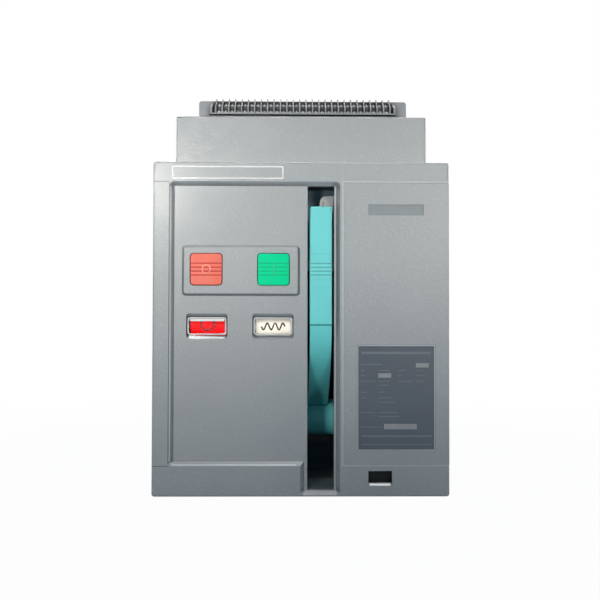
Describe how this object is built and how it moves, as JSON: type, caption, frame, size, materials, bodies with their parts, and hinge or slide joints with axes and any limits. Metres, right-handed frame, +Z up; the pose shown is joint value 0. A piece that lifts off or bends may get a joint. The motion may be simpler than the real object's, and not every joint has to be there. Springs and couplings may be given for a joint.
{
  "type": "low-voltage air isolating switch",
  "caption": "Fixed low-voltage air isolating switch with a moulded front mask, charging handle, push-buttons, indicator windows, top wire terminals and rear busbar terminals.",
  "frame": {"origin": "middle of the overall box at floor level", "axes": "+Z up, the front with its handle and buttons faces -Y, +X to the right as seen from the front"},
  "size_m": [0.3, 0.323, 0.4109],
  "materials": {
    "grey_moulding": "fine grained moulded thermoplastic, mid grey",
    "plate_enamel": "dark slate printed aluminium plate, satin",
    "red_plastic": "moulded red plastic, satin",
    "green_plastic": "moulded green plastic, satin",
    "clear_plastic": "clear polycarbonate window, glossy",
    "red_drum": "printed red drum",
    "cream_drum": "printed cream drum",
    "bright_steel": "ground steel shaft",
    "zinc_steel": "zinc-plated sheet steel",
    "dark_steel": "dark phosphated sheet steel",
    "teal_plastic": "moulded teal plastic, satin",
    "catch_plastic": "light grey moulded catch",
    "terminal_plastic": "grey glass-filled terminal moulding",
    "clamp_metal": "nickel-plated wire clamps",
    "base_moulding": "brown thermoset moulding",
    "chute_moulding": "dark thermoset arc chute",
    "plated_copper": "silver-plated copper bar"
  },
  "bodies": {
    "switch_frame": {"front_mask": "grey_moulding", "blank_cover": "grey_moulding", "rating_plate": "plate_enamel", "button_bezel": "grey_moulding", "position_window": "clear_plastic", "charge_window": "clear_plastic", "indicator_shaft": "bright_steel", "indicator_brackets": "zinc_steel", "handle_shaft": "bright_steel", "handle_catch": "catch_plastic", "left_cheek": "dark_steel", "right_cheek": "dark_steel", "terminal_housing": "grey_moulding", "terminal_block": "terminal_plastic", "terminal_barriers": "terminal_plastic", "lower_clamps": "clamp_metal", "upper_clamps": "clamp_metal", "left_side_plate": "zinc_steel", "right_side_plate": "zinc_steel", "mechanism_floor": "zinc_steel", "closing_plate": "dark_steel", "mechanism_roof": "zinc_steel", "moulded_base": "base_moulding", "left_arc_chute": "chute_moulding", "middle_arc_chute": "chute_moulding", "right_arc_chute": "chute_moulding", "lower_left_terminal": "plated_copper", "lower_middle_terminal": "plated_copper", "lower_right_terminal": "plated_copper", "upper_left_terminal": "plated_copper", "upper_middle_terminal": "plated_copper", "upper_right_terminal": "plated_copper"},
    "handle": {"charging_handle": "teal_plastic"},
    "red_button": {"open_button": "red_plastic"},
    "green_button": {"close_button": "green_plastic"},
    "position_indicator": {"position_drum": "red_drum"},
    "charge_indicator": {"charge_drum": "cream_drum"}
  },
  "joints": [
    {"name": "handle_pull", "type": "hinge", "parent": "switch_frame", "child": "handle", "pos_m": [0.02, -0.0565, 0.07], "axis": [1, 0, 0], "range_deg": [0, 55], "stiffness_Nm_per_rad": 0.5, "springref_deg": -68.75},
    {"name": "open_button_press", "type": "slide", "parent": "switch_frame", "child": "red_button", "axis": [0, 1, 0], "range_m": [0, 0.004], "stiffness_N_per_m": 600, "springref_m": -0.004},
    {"name": "close_button_press", "type": "slide", "parent": "switch_frame", "child": "green_button", "axis": [0, 1, 0], "range_m": [0, 0.004], "stiffness_N_per_m": 600, "springref_m": -0.004},
    {"name": "position_turn", "type": "hinge", "parent": "switch_frame", "child": "position_indicator", "pos_m": [-0.0955, -0.1225, 0.172], "axis": [-1, 0, 0], "range_deg": [0, 48]},
    {"name": "charge_turn", "type": "hinge", "parent": "switch_frame", "child": "charge_indicator", "pos_m": [-0.0285, -0.1225, 0.172], "axis": [-1, 0, 0], "range_deg": [0, 48]}
  ]
}
